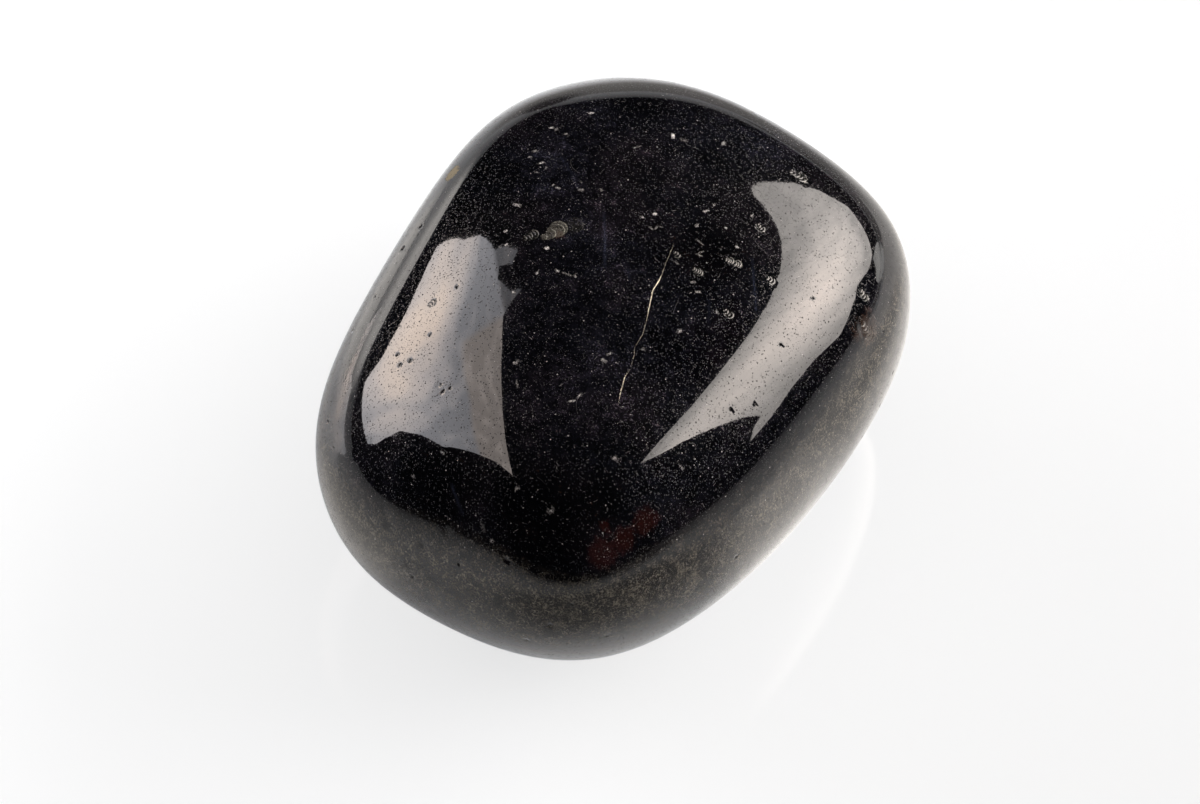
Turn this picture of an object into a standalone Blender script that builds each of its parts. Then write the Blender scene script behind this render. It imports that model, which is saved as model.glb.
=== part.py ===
# A hand-sized piece of black obsidian, tumbled to a smooth pebble and polished, lying on its
# flattest side. It is one solid piece of volcanic glass.
#
# Units are metres and +Z is up. The origin is on the ground, under the middle of the stone's
# box. The long axis lies along Y. The top is a low dome that falls away towards +Y, and the
# stone is fuller on its right side, at +X, than on its left.
#
# The shape is a block whose faces have been ground flat and whose edges have been worn round.
# Each worn face is a plane at a set distance from a core point inside the stone. A rounding
# exponent sets how tightly neighbouring faces meet: 2 would give soft, ball-like corners and a
# large value sharp ones. The foot is the one truly flat face, where the stone rests.
import math

import bmesh
import bpy
from mathutils import Vector

MM = 0.001

# Driving dimensions
CORE_HEIGHT = 12.5 * MM
ROUNDING = 8.0
ROWS_PER_SIDE = 24

# Each worn face's azimuth from +X towards +Y and its elevation, both in degrees, and its
# distance from the core point in millimetres
WORN_FACES = {
    "crown": (-102, 89, 13.4),
    "front": (-89, -1, 22.6),
    "back": (92, -12, 18.5),
    "left": (178, -10, 13.8),
    "right": (3, 5, 18.7),
    "front left corner": (-141, -17, 18.8),
    "front right corner": (-34, -6, 20.0),
    "back left corner": (137, 30, 18.1),
    "back right corner": (36, 4, 21.9),
    "front shoulder": (-105, 37, 19.1),
    "back shoulder": (74, 67, 13.6),
    "left shoulder": (-158, 50, 13.6),
    "right shoulder": (-7, 42, 16.5),
    "front underside": (-81, -47, 17.3),
    "back underside": (93, -45, 17.8),
    "left underside": (-177, -47, 15.1),
    "right underside": (-5, -41, 15.3),
    "base": (0, -90, 13.0),
}

# Finish: near-black glass with a bright polish
GLASS_COLOUR = (0.006, 0.006, 0.0075, 1.0)
GLASS_ROUGHNESS = 0.08
GLASS_IOR = 1.5


def clear_scene():
    """Start from an empty scene."""
    for old in list(bpy.data.objects):
        bpy.data.objects.remove(old)


def face_planes():
    """Turn the worn faces into pairs of outward normal and distance in metres."""
    planes = []
    for azimuth, elevation, distance in WORN_FACES.values():
        turn = math.radians(azimuth)
        rise = math.radians(elevation)
        normal = Vector((
            math.cos(rise) * math.cos(turn),
            math.cos(rise) * math.sin(turn),
            math.sin(rise),
        ))
        planes.append((normal, distance * MM))
    return planes


def stone_radius(direction, planes):
    """Distance from the core point to the stone's surface along a unit direction."""
    reach = 0.0
    for normal, distance in planes:
        closeness = direction.dot(normal) / distance
        if closeness > 0.0:
            reach += closeness ** ROUNDING
    radius = reach ** (-1.0 / ROUNDING)
    if direction.z < 0.0:
        radius = min(radius, CORE_HEIGHT / -direction.z)
    return radius


def even_direction(corner):
    """Unit direction of a point on the cube, spread so that the rows come out even."""
    spread = Vector([math.tan(part * math.pi / 4.0) for part in corner])
    return spread.normalized()


def shape_stone(mesh):
    """Push a gridded cube out to the stone's surface, foot on the ground."""
    planes = face_planes()
    stone = bmesh.new()
    bmesh.ops.create_cube(stone, size=2.0)
    bmesh.ops.subdivide_edges(
        stone,
        edges=stone.edges[:],
        cuts=ROWS_PER_SIDE - 1,
        use_grid_fill=True,
    )
    for vert in stone.verts:
        direction = even_direction(vert.co)
        vert.co = direction * stone_radius(direction, planes)
        vert.co.z += CORE_HEIGHT
        if vert.co.z < 0.001 * MM:
            vert.co.z = 0.0
    centre_on_origin(stone)
    bmesh.ops.recalc_face_normals(stone, faces=stone.faces[:])
    stone.to_mesh(mesh)
    stone.free()


def centre_on_origin(stone):
    """Slide the stone sideways until the middle of its box is over the origin."""
    for axis in (0, 1):
        places = [vert.co[axis] for vert in stone.verts]
        middle = (min(places) + max(places)) / 2.0
        for vert in stone.verts:
            vert.co[axis] -= middle


def obsidian():
    """Polished volcanic glass."""
    glass = bpy.data.materials.new("polished_obsidian")
    glass.use_nodes = True
    shader = glass.node_tree.nodes["Principled BSDF"]
    shader.inputs["Base Color"].default_value = GLASS_COLOUR
    shader.inputs["Roughness"].default_value = GLASS_ROUGHNESS
    shader.inputs["IOR"].default_value = GLASS_IOR
    shader.inputs["Metallic"].default_value = 0.0
    glass.diffuse_color = GLASS_COLOUR
    return glass


def make_stone():
    """The whole object: one obsidian pebble."""
    mesh = bpy.data.meshes.new("obsidian_stone")
    shape_stone(mesh)
    mesh.shade_smooth()
    mesh.materials.append(obsidian())
    stone = bpy.data.objects.new("obsidian_stone", mesh)
    bpy.context.scene.collection.objects.link(stone)
    return stone


clear_scene()
make_stone()
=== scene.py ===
# A tumbled piece of black obsidian, polished like a mirror, on a glossy pale table between two
# softboxes. The crescent bruises that other stones left in the tumbler, the open pits, the shallow
# hollows and the healed crack are pressed into the mesh. The finish draws the pale crystals, the
# scratches and the finer grains.
import math
import random

import bpy
import numpy
from mathutils import Matrix, Vector
from mathutils.bvhtree import BVHTree
from mathutils.interpolate import poly_3d_calc


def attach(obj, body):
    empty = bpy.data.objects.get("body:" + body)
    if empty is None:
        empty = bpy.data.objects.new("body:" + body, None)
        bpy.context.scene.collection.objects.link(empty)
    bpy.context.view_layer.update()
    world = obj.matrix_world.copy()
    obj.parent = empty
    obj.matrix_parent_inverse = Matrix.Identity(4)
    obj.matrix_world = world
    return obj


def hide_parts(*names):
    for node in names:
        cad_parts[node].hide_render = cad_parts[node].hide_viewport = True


bl_info = {
    "name": "Tumbled Obsidian Stone",
    "version": (1, 0, 0),
    "blender": (4, 5, 0),
    "location": "3D Viewport > Sidebar > Obsidian",
    "description": "Builds a polished obsidian pebble with its crystals, bruises and pits",
    "category": "Object",
}

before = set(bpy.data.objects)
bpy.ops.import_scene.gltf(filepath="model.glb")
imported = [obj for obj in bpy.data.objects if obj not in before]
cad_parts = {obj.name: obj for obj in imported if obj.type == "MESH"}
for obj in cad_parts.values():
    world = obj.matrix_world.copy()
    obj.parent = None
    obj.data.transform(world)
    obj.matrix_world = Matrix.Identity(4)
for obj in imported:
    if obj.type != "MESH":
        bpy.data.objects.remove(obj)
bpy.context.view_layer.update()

MM = 0.001
STONE_NODE = "obsidian_stone"

# The facets of the CAD stone lie in rows that spread out evenly from this point
HEART = Vector((-1.556 * MM, 0.824 * MM, 12.5 * MM))
ROWS_PER_SIDE = 24

# The picture's size in pixels, for everything below that is placed by a pixel of it
PICTURE_WIDTH = 1200
PICTURE_HEIGHT = 804
SENSOR_WIDTH = 36.0

# Bruises, each a row of crescents that grow along it: pixel across, pixel down, the row's angle in
# the picture in degrees, how many crescents, the last one's radius and the row's length in mm,
# how pale the crescents are and how pale the glass between them
BRUISES = {
    "great bruise": (550, 234, 36, 5, 0.50, 0.95, 0.60, 0.11),
    "its outer shell": (557, 230, 40, 2, 0.60, 0.16, 0.45, 0.10),
    "bruise beside it": (528, 237, 30, 5, 0.38, 0.60, 0.20, 0.02),
    "its pale shadow": (571, 226, 45, 3, 0.60, 0.40, 0.05, 0.02),
    "upper of a pair": (728, 260, -10, 4, 0.26, 0.30, 0.20, 0.03),
    "lower of a pair": (735, 263, -22, 4, 0.30, 0.32, 0.30, 0.04),
    "fan on the crown": (696, 270, -40, 5, 0.30, 0.42, 0.11, 0.02),
    "oval on the crown": (727, 312, -62, 4, 0.28, 0.46, 0.15, 0.02),
    "bruise above the right light": (796, 174, -32, 5, 0.40, 0.80, 0.22, 0.03),
    "bruise in the left light": (430, 305, 60, 3, 0.28, 0.30, 0.12, 0.02),
    "bruise on the right rim": (866, 328, -30, 5, 0.44, 0.90, 0.18, 0.02),
    "bruise by the right light": (862, 293, -60, 4, 0.30, 0.50, 0.22, 0.03),
    "bruise above the crack": (676, 253, -50, 3, 0.24, 0.26, 0.14, 0.02),
    "bruise in the mist": (759, 226, -80, 4, 0.30, 0.40, 0.12, 0.02),
    "bruise at the light's edge": (770, 279, -25, 3, 0.26, 0.30, 0.13, 0.02),
}

# Pale crystals that the polish cut through: pixel across, pixel down, angle in the picture in
# degrees, length and width in millimetres, and how pale
CRYSTALS = {
    "gold flake at the back": (591, 113, 20, 0.32, 0.14, 0.50),
    "gold flake above the crown": (673, 136, 80, 0.40, 0.17, 0.95),
    "its grey tail": (684, 140, -15, 0.53, 0.23, 0.07),
    "twin grain 1": (506, 231, 30, 0.18, 0.12, 0.56),
    "twin grain 2": (506, 245, 0, 0.16, 0.11, 0.95),
    "twin grain 3": (500, 247, -40, 0.16, 0.08, 0.31),
    "bright grain": (547, 248, 0, 0.23, 0.18, 0.95),
    "plate": (517, 205, -28, 0.58, 0.16, 0.31),
    "pale dart": (706, 211, 34, 0.40, 0.10, 0.37),
    "dart tail": (714, 205, 60, 0.19, 0.08, 0.31),
    "bright dot 1": (655, 214, 0, 0.17, 0.12, 0.95),
    "bright dot 2": (642, 217, -30, 0.21, 0.09, 0.43),
    "fork 1": (651, 228, -55, 0.30, 0.08, 0.22),
    "fork 2": (656, 228, 60, 0.30, 0.07, 0.22),
    "fork 3": (661, 227, -15, 0.26, 0.07, 0.12),
    "dash on the crown 1": (700, 242, -50, 0.55, 0.08, 0.15),
    "dash on the crown 2": (699, 255, -20, 0.46, 0.08, 0.15),
    "dash on the crown 3": (702, 252, 40, 0.32, 0.07, 0.15),
    "dash by the crack": (675, 262, -35, 0.58, 0.07, 0.12),
    "splinter 1": (693, 282, 25, 0.32, 0.10, 0.32),
    "splinter 2": (698, 292, 14, 0.30, 0.09, 0.38),
    "splinter 3": (717, 312, -80, 0.19, 0.09, 0.50),
    "bright dot 3": (737, 247, 0, 0.18, 0.13, 0.50),
    "bright dot 4": (752, 216, 0, 0.12, 0.10, 0.56),
    "bright dot 5": (697, 226, -20, 0.14, 0.11, 0.56),
    "bright dot 6": (726, 228, 0, 0.14, 0.12, 0.37),
    "curved mark 1": (572, 401, 5, 0.37, 0.06, 0.56),
    "curved mark 2": (579, 396, 40, 0.21, 0.06, 0.43),
    "dot by the crack 1": (603, 360, -40, 0.19, 0.12, 0.56),
    "dot by the crack 2": (609, 354, 10, 0.19, 0.07, 0.50),
    "pale crescent": (680, 331, 20, 0.25, 0.17, 0.37),
    "small ring": (643, 349, 20, 0.18, 0.14, 0.19),
    "triangle": (581, 190, -10, 0.35, 0.17, 0.19),
    "triangle 2": (601, 190, -60, 0.21, 0.16, 0.19),
    "star 1": (541, 163, 20, 0.28, 0.09, 0.50),
    "star 2": (536, 172, -35, 0.26, 0.07, 0.25),
    "star 3": (530, 157, -20, 0.23, 0.08, 0.31),
    "star 4": (546, 168, 80, 0.21, 0.06, 0.25),
    "dot at the back 1": (551, 128, 0, 0.18, 0.12, 0.56),
    "dot at the back 2": (556, 129, 0, 0.14, 0.10, 0.43),
    "dot at the back 3": (535, 151, 0, 0.13, 0.10, 0.37),
    "dot at the back 4": (566, 134, 0, 0.12, 0.09, 0.31),
    "dash at the back": (637, 147, 38, 0.53, 0.06, 0.19),
    "cluster": (558, 188, -30, 0.32, 0.09, 0.31),
    "cluster 2": (553, 185, 50, 0.19, 0.07, 0.25),
    "dot above the light": (723, 144, 0, 0.14, 0.10, 0.50),
    "dash by the left light": (517, 384, -70, 0.49, 0.07, 0.19),
    "dot by the left light": (515, 363, -10, 0.26, 0.14, 0.37),
    "dot by the edge": (513, 292, 0, 0.13, 0.11, 0.56),
    "dot below the bruise": (537, 273, 0, 0.13, 0.11, 0.56),
    "streak 1": (558, 271, -25, 0.14, 0.10, 0.50),
    "streak 2": (567, 274, -30, 0.62, 0.07, 0.25),
    "streak 3": (575, 276, -60, 0.21, 0.08, 0.43),
    "low dot 1": (443, 453, -20, 0.30, 0.14, 0.15),
    "low dot 2": (413, 476, 40, 0.21, 0.11, 0.19),
    "low dot 3": (492, 541, 10, 0.23, 0.17, 0.19),
    "low dot 4": (517, 488, 10, 0.26, 0.11, 0.22),
    "low dot 5": (551, 511, 0, 0.18, 0.13, 0.31),
    "low dot 6": (615, 458, 0, 0.16, 0.12, 0.31),
    "low dash": (681, 467, -45, 0.26, 0.09, 0.19),
    "low smudge": (483, 528, -70, 0.62, 0.27, 0.05),
}

# Open pits: pixel across, pixel down, radius in millimetres
PITS = {
    "rim pit 1": (403, 248, 0.24),
    "rim pit 2": (421, 226, 0.17),
    "rim pit 3": (375, 297, 0.10),
    "rim pit 4": (328, 422, 0.15),
    "rim pit 5": (353, 330, 0.08),
    "front pit 1": (413, 577, 0.15),
    "front pit 2": (527, 640, 0.09),
    "front pit 3": (459, 564, 0.09),
    "front pit 4": (447, 531, 0.08),
    "front pit 5": (506, 560, 0.09),
    "front pit 6": (549, 625, 0.09),
    "front pit 7": (574, 605, 0.08),
    "front pit 8": (606, 636, 0.07),
    "front pit 9": (423, 545, 0.07),
    "right pit 1": (736, 557, 0.11),
    "right pit 2": (880, 405, 0.12),
    "right pit 3": (883, 332, 0.13),
    "right pit 4": (893, 372, 0.10),
    "right pit 5": (862, 437, 0.10),
    "light pit 1": (398, 354, 0.06),
    "light pit 2": (400, 364, 0.06),
    "light pit 3": (410, 361, 0.07),
    "light pit 4": (443, 391, 0.09),
    "light pit 5": (450, 388, 0.08),
    "light pit 6": (441, 384, 0.06),
    "light pit 7": (430, 335, 0.06),
    "light pit 8": (457, 287, 0.05),
    "light pit 9": (731, 410, 0.10),
    "light pit 10": (756, 405, 0.07),
    "light pit 11": (781, 345, 0.09),
    "light pit 12": (855, 248, 0.07),
    "light pit 13": (842, 292, 0.05),
    "light pit 14": (812, 298, 0.05),
}

# Shallow hollows where the mirror breaks up: pixel across, pixel down, angle in the picture in
# degrees, length, width and depth in millimetres
HOLLOWS = {
    "scar beside the great bruise": (572, 227, 60, 1.30, 0.90, 0.020),
    "right rim hollow": (862, 330, -50, 1.50, 0.90, 0.030),
    "right rim hollow 2": (871, 290, 80, 1.00, 0.60, 0.025),
    "front rim hollow": (388, 520, -60, 2.40, 1.20, 0.025),
    "front rim hollow 2": (566, 604, 8, 3.20, 1.10, 0.020),
    "left gap hollow": (357, 455, 80, 1.30, 0.60, 0.020),
    "back rim hollow": (646, 104, -5, 2.60, 0.60, 0.015),
}

# Lines on the polish: the pixels that each passes through, and how pale it is there
CRACK = (
    (674, 242, 0.00), (672, 249, 0.22), (666, 263, 0.24), (662, 274, 0.30), (659, 281, 0.90),
    (653, 290, 0.65), (650, 304, 0.60), (647, 319, 0.25), (643, 334, 0.25), (635, 347, 0.12),
    (634, 356, 0.30), (631, 367, 0.12), (625, 377, 0.45), (621, 391, 0.55), (618, 406, 0.00),
)
SCRATCHES = {
    "scratch on the crown": ((604, 212, 0.3), (605, 238, 1.0), (605, 266, 0.4)),
    "scratch by the right light": ((752, 258, 0.4), (754, 284, 1.0), (756, 310, 0.6)),
    "scratch below it": ((709, 300, 0.5), (709, 322, 0.3)),
    "low scratch": ((452, 486, 0.9), (457, 500, 0.7), (463, 514, 0.5)),
    "long scratch": ((561, 158, 0.3), (571, 172, 0.4), (577, 186, 0.3)),
    "scratch in the gap": ((628, 270, 0.5), (630, 282, 0.3)),
}

# Patches of another look: pixel across, pixel down, radius in millimetres
PATCHES = {
    "rust": {
        "main patch": (604, 553, 1.00),
        "its shoulder": (623, 541, 0.80),
        "faint patch": (646, 522, 0.85),
        "small patch": (606, 526, 0.32),
    },
    "gold": {
        "yellow grain": (453, 172, 0.50),
        "its foot": (449, 177, 0.34),
    },
    "brown": {
        "orange spot in the great bruise": (559, 234, 0.26),
        "rub on the right rim": (866, 330, 1.00),
    },
    "pitted": {
        "in the left light": (412, 364, 1.30),
        "in the left light 2": (444, 389, 0.70),
        "in the left light 3": (452, 268, 1.00),
        "in the right light": (735, 412, 0.90),
    },
    # The clear patches thin the mist and the grains, so the glass is darker there, most of all
    # towards the low front
    "clear": {
        "low left": (440, 490, 2.60),
        "low middle": (540, 522, 3.20),
        "low right": (600, 500, 1.60),
        # Painted shade where a hollow in the polish mirrors the dark room
        "dark hollow": (501, 238, 0.70),
        "right of the crack": (708, 250, 2.20),
        "back": (640, 100, 2.00),
    },
    "misty": {
        "upper left": (545, 165, 2.20),
        "above the right light": (770, 140, 2.00),
        "crown": (600, 240, 2.00),
        "middle": (600, 390, 2.20),
    },
}

# The outlines of the two softboxes, and of a glowing card, painted light that stands low behind
# the right one, as the polish mirrors them, in picture pixels
LEFT_LIGHT = {
    "rear foot": (436, 248),
    "rear edge 1": (464, 240),
    "rear edge 2": (485, 238),
    "rear shoulder": (490, 243),
    "broken edge 1": (495, 250),
    "broken edge 2": (518, 250),
    "broken edge 3": (512, 264),
    "broken edge 4": (499, 267),
    "broken edge 5": (498, 279),
    "broken edge 6": (510, 291),
    "broken edge 7": (522, 288),
    "broken edge 8": (509, 305),
    "top 1": (503, 316),
    "top 2": (502, 348),
    "top 3": (502, 395),
    "top 4": (504, 425),
    "top 5": (508, 454),
    "front tip": (513, 476),
    "front edge 1": (498, 463),
    "front edge 2": (472, 452),
    "front edge 3": (442, 446),
    "notch": (421, 435),
    "notch bottom": (400, 431),
    "front foot 1": (376, 444),
    "front foot 2": (368, 444),
    "foot 1": (363, 425),
    "foot 2": (365, 382),
    "foot 3": (383, 356),
    "foot 4": (408, 309),
    "foot 5": (425, 271),
}
RIGHT_LIGHT = {
    "rear top 1": (753, 195),
    "rear top 2": (752, 188),
    "rear top 3": (757, 183),
    "rear edge 1": (767, 182),
    "rear edge 2": (793, 183),
    "rear edge 3": (818, 190),
    "rear foot": (848, 207),
    "foot 1": (863, 228),
    "foot 2": (872, 254),
    "foot 3": (869, 269),
    "foot 4": (857, 285),
    "foot 5": (852, 307),
    "foot 6": (840, 335),
    "foot 7": (814, 360),
    "foot 8": (793, 386),
    "foot 9": (772, 416),
    "front foot": (750, 442),
    "notch 1": (754, 427),
    "notch 2": (761, 416),
    "front edge 1": (742, 418),
    "front edge 2": (716, 427),
    "front edge 3": (682, 442),
    "front tip": (641, 463),
    "top 1": (665, 435),
    "top 2": (690, 408),
    "top 3": (729, 360),
    "top 4": (759, 318),
    "top 5": (776, 284),
    "top 6": (782, 254),
    "top 7": (776, 224),
    "top 8": (760, 202),
}
RIGHT_CARD = {
    "rear top": (878, 240),
    "rear foot": (886, 242),
    "foot 1": (892, 258),
    "foot 2": (893, 286),
    "front foot": (889, 297),
    "front top": (881, 294),
    "top 1": (876, 280),
    "top 2": (873, 258),
    "top 3": (875, 246),
}


def linear(hex_colour):
    """The linear colour of an sRGB hex value such as "#0a0a0d"."""
    parts = [int(hex_colour[place:place + 2], 16) / 255.0 for place in (1, 3, 5)]
    return tuple(
        part / 12.92 if part <= 0.04045 else ((part + 0.055) / 1.055) ** 2.4 for part in parts
    ) + (1.0,)


def set_inputs(tree, node, inputs):
    """Give each input a value, or link it to an output or to another node's first output."""
    for key, value in inputs.items():
        if isinstance(value, bpy.types.Node):
            value = next(output for output in value.outputs if output.enabled)
        if isinstance(value, bpy.types.NodeSocket):
            tree.links.new(value, node.inputs[key])
        else:
            node.inputs[key].default_value = value


def add_node(tree, kind, inputs, **settings):
    """Add a node with its settings and its inputs."""
    node = tree.nodes.new(kind)
    for name, value in settings.items():
        setattr(node, name, value)
    set_inputs(tree, node, inputs)
    return node


def new_material(name):
    """An empty material and its node tree."""
    material = bpy.data.materials.new(name)
    material.use_nodes = True
    material.node_tree.nodes.clear()
    return material, material.node_tree


class ObsidianStoneSettings(bpy.types.PropertyGroup):
    """Shape of the finished stone."""

    smoothing: bpy.props.IntProperty(
        name="Smoothing", description="Subdivision levels that round off the facets",
        default=2, min=1, max=3)
    bruise_depth: bpy.props.FloatProperty(
        name="Bruise depth", description="Depth of a crescent's groove",
        default=0.030 * MM, subtype="DISTANCE", unit="LENGTH", precision=6)
    pit_depth: bpy.props.FloatProperty(
        name="Pit depth", description="Depth of an open pit",
        default=0.16 * MM, subtype="DISTANCE", unit="LENGTH", precision=6)
    groove_width: bpy.props.FloatProperty(
        name="Groove width", description="Half the width of a crescent's groove",
        default=0.045 * MM, subtype="DISTANCE", unit="LENGTH", precision=6)
    crack_width: bpy.props.FloatProperty(
        name="Crack width", description="Half the width of the healed crack",
        default=0.06 * MM, subtype="DISTANCE", unit="LENGTH", precision=6)
    scratch_width: bpy.props.FloatProperty(
        name="Scratch width", description="Half the width of a scratch",
        default=0.13 * MM, subtype="DISTANCE", unit="LENGTH", precision=6)
    hidden_marks: bpy.props.IntProperty(
        name="Hidden marks", description="Bruises on the sides that the picture doesn't show",
        default=9, min=0)
    seed: bpy.props.IntProperty(
        name="Seed", description="Start of the random draws for the hidden sides", default=7)


class ObsidianGlassSettings(bpy.types.PropertyGroup):
    """Colours and polish of the glass."""

    glass: bpy.props.FloatVectorProperty(
        name="Glass", description="Body colour of the glass",
        default=linear("#020203"), subtype="COLOR", size=4, min=0.0, max=1.0)
    # The flanks' colour: partly their brownish wear, partly a painted reflection of the pale table
    brown_glass_and_reflection: bpy.props.FloatVectorProperty(
        name="Brown glass", description="Colour of the worn, brownish flanks",
        default=linear("#5c584e"), subtype="COLOR", size=4, min=0.0, max=1.0)
    mist: bpy.props.FloatVectorProperty(
        name="Mist", description="Colour of the haze of hair-fine scratches",
        default=linear("#8488a8"), subtype="COLOR", size=4, min=0.0, max=1.0)
    warm_mist: bpy.props.FloatVectorProperty(
        name="Warm mist", description="Colour of the haze where the glass is brownish",
        default=linear("#8c8298"), subtype="COLOR", size=4, min=0.0, max=1.0)
    crystal: bpy.props.FloatVectorProperty(
        name="Crystals", description="Colour of the pale crystals",
        default=linear("#dedcdc"), subtype="COLOR", size=4, min=0.0, max=1.0)
    rust: bpy.props.FloatVectorProperty(
        name="Rust", description="Colour of the mahogany patch",
        default=linear("#30140f"), subtype="COLOR", size=4, min=0.0, max=1.0)
    gold: bpy.props.FloatVectorProperty(
        name="Gold", description="Colour of the yellow grain",
        default=linear("#7c6c3c"), subtype="COLOR", size=4, min=0.0, max=1.0)
    polish: bpy.props.FloatProperty(
        name="Polish", description="Roughness of the polished face",
        default=0.02, min=0.0, max=1.0, subtype="FACTOR")
    ripple: bpy.props.FloatProperty(
        name="Ripple", description="Height of the faint waves in the polish",
        default=0.0009 * MM, min=0.0, subtype="DISTANCE", unit="LENGTH", precision=8)


class ObsidianStageSettings(bpy.types.PropertyGroup):
    """Camera, table and lights."""

    azimuth: bpy.props.FloatProperty(
        name="Azimuth", description="Turn of the camera about the stone",
        default=math.radians(28.0), subtype="ANGLE")
    elevation: bpy.props.FloatProperty(
        name="Elevation", description="Height of the camera above the table, as an angle",
        default=math.radians(61.243), subtype="ANGLE")
    roll: bpy.props.FloatProperty(
        name="Roll", description="Roll of the camera about its line of sight",
        default=math.radians(4.866), subtype="ANGLE")
    distance: bpy.props.FloatProperty(
        name="Distance", description="From the camera to the point it looks at",
        default=0.5385, subtype="DISTANCE", unit="LENGTH")
    lens: bpy.props.FloatProperty(
        name="Lens", description="Focal length in millimetres", default=252.6, min=20.0)
    target: bpy.props.FloatVectorProperty(
        name="Target", description="Point that the camera looks at",
        default=(0.276 * MM, -1.319 * MM, 12.059 * MM), subtype="TRANSLATION", unit="LENGTH")
    light_distance: bpy.props.FloatProperty(
        name="Light distance", description="From the stone to each softbox's plane",
        default=0.4, subtype="DISTANCE", unit="LENGTH")
    light_power: bpy.props.FloatProperty(
        name="Light power", description="Scale of the lights' radiance, where white paper is 1",
        default=13.0, min=0.0)
    # The shadow lift is a painted glow on the table that only the camera sees
    painted_shadow_lift: bpy.props.FloatProperty(
        name="Shadow lift", description="How much the exposure lifts the table's shadows",
        default=0.72, min=0.0)
    fill_height: bpy.props.FloatProperty(
        name="Fill height", description="Height of the fill light",
        default=0.6, subtype="DISTANCE", unit="LENGTH")


def eye(stage):
    """The camera's place and its right, up and back directions."""
    turn, rise, roll = stage.azimuth, stage.elevation, stage.roll
    back = Vector((
        math.sin(turn) * math.cos(rise),
        -math.cos(turn) * math.cos(rise),
        math.sin(rise),
    ))
    level = Vector((math.cos(turn), math.sin(turn), 0.0))
    upright = back.cross(level)
    right = level * math.cos(roll) + upright * math.sin(roll)
    up = upright * math.cos(roll) - level * math.sin(roll)
    return Vector(stage.target) + back * stage.distance, right, up, back


def line_of_sight(stage, across, down):
    """The eye's place and the direction that it sees through a pixel of the picture."""
    place, right, up, back = eye(stage)
    focal_pixels = stage.lens / SENSOR_WIDTH * PICTURE_WIDTH
    ray = (
        -back
        + right * ((across - PICTURE_WIDTH / 2) / focal_pixels)
        - up * ((down - PICTURE_HEIGHT / 2) / focal_pixels)
    )
    return place, ray.normalized()


def seen_point(stage, tree, across, down):
    """The point of the stone behind a pixel, its normal, the face's number and the ray."""
    place, ray = line_of_sight(stage, across, down)
    point, normal, face, _ = tree.ray_cast(place, ray)
    if point is None:
        raise RuntimeError(f"pixel {across}, {down} misses the stone")
    return point, normal, face, ray


def deselect_all():
    """Leave nothing selected, so that an operator acts only on what comes next."""
    for shown in bpy.context.selected_objects:
        shown.select_set(False)


def make_active(thing):
    """Select one object alone."""
    deselect_all()
    bpy.context.view_layer.objects.active = thing
    thing.select_set(True)


def surface_tree(mesh):
    """A search tree over a mesh's faces."""
    points = [vert.co.copy() for vert in mesh.vertices]
    faces = [tuple(face.vertices) for face in mesh.polygons]
    return BVHTree.FromPolygons(points, faces)


def gridded_cube(name):
    """A cube with the same rows of faces as the CAD stone."""
    deselect_all()
    bpy.ops.mesh.primitive_cube_add(size=2.0, location=(0.0, 0.0, 0.0))
    cube = bpy.context.active_object
    cube.name = cube.data.name = name
    bpy.ops.object.mode_set(mode="EDIT")
    bpy.ops.mesh.select_all(action="SELECT")
    bpy.ops.mesh.subdivide(number_cuts=ROWS_PER_SIDE - 1)
    bpy.ops.object.mode_set(mode="OBJECT")
    return cube


def push_out_to_stone(piece):
    """Move each point of the cube out from the heart to the CAD stone's surface."""
    stone = surface_tree(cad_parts[STONE_NODE].data)
    for vert in piece.data.vertices:
        spread = Vector([math.tan(part * math.pi / 4.0) for part in vert.co]).normalized()
        point, _, _, _ = stone.ray_cast(HEART, spread)
        if point is None:
            raise RuntimeError("the CAD stone has a hole")
        vert.co = point


def apply_modifiers(piece):
    """Apply the piece's modifiers in order."""
    make_active(piece)
    for modifier in list(piece.modifiers):
        bpy.ops.object.modifier_apply(modifier=modifier.name)


def rounded_stone(name, levels):
    """The stone with its facets smoothed away and no marks yet."""
    piece = gridded_cube(name)
    push_out_to_stone(piece)
    smoother = piece.modifiers.new("round the facets", "SUBSURF")
    smoother.levels = smoother.render_levels = levels
    apply_modifiers(piece)
    piece.data.shade_smooth()
    return piece


def axes_on(normal, towards):
    """Rows of a local frame on the surface: along, across and outwards."""
    outwards = normal.normalized()
    along = (towards - outwards * towards.dot(outwards)).normalized()
    return numpy.array((along, outwards.cross(along), outwards))


def seen_frame(stage, tree, across, down, angle):
    """Point and local frame at a pixel; the first axis runs at the angle in the picture."""
    point, normal, _, _ = seen_point(stage, tree, across, down)
    _, right, up, _ = eye(stage)
    towards = right * math.cos(math.radians(angle)) + up * math.sin(math.radians(angle))
    return point, axes_on(normal, towards)


# A side counts as hidden when its normal leans less than this towards the camera, and marks keep
# this far above the foot
HIDDEN_LEAN = 0.15
FOOT_CLEARANCE = 1.5 * MM

# Ranges that the marks on the hidden sides are drawn from; lengths in millimetres, the hollow's
# width as a share of its length
HIDDEN_RANGES = {
    "bruise radius": (0.2, 0.5),
    "bruise length": (0.3, 0.9),
    "bruise paleness": (0.15, 0.4),
    "crystal length": (0.18, 0.5),
    "crystal width": (0.1, 0.2),
    "crystal paleness": (0.3, 0.9),
    "pit radius": (0.08, 0.2),
    "hollow length": (0.8, 2.4),
    "hollow width": (0.4, 0.8),
}
HIDDEN_CRESCENTS = (3, 6)
HIDDEN_FILL = 0.04
HIDDEN_HOLLOW_DEPTH = 0.025 * MM
CRYSTALS_PER_BRUISE = 3
PITS_PER_BRUISE = 2


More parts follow.
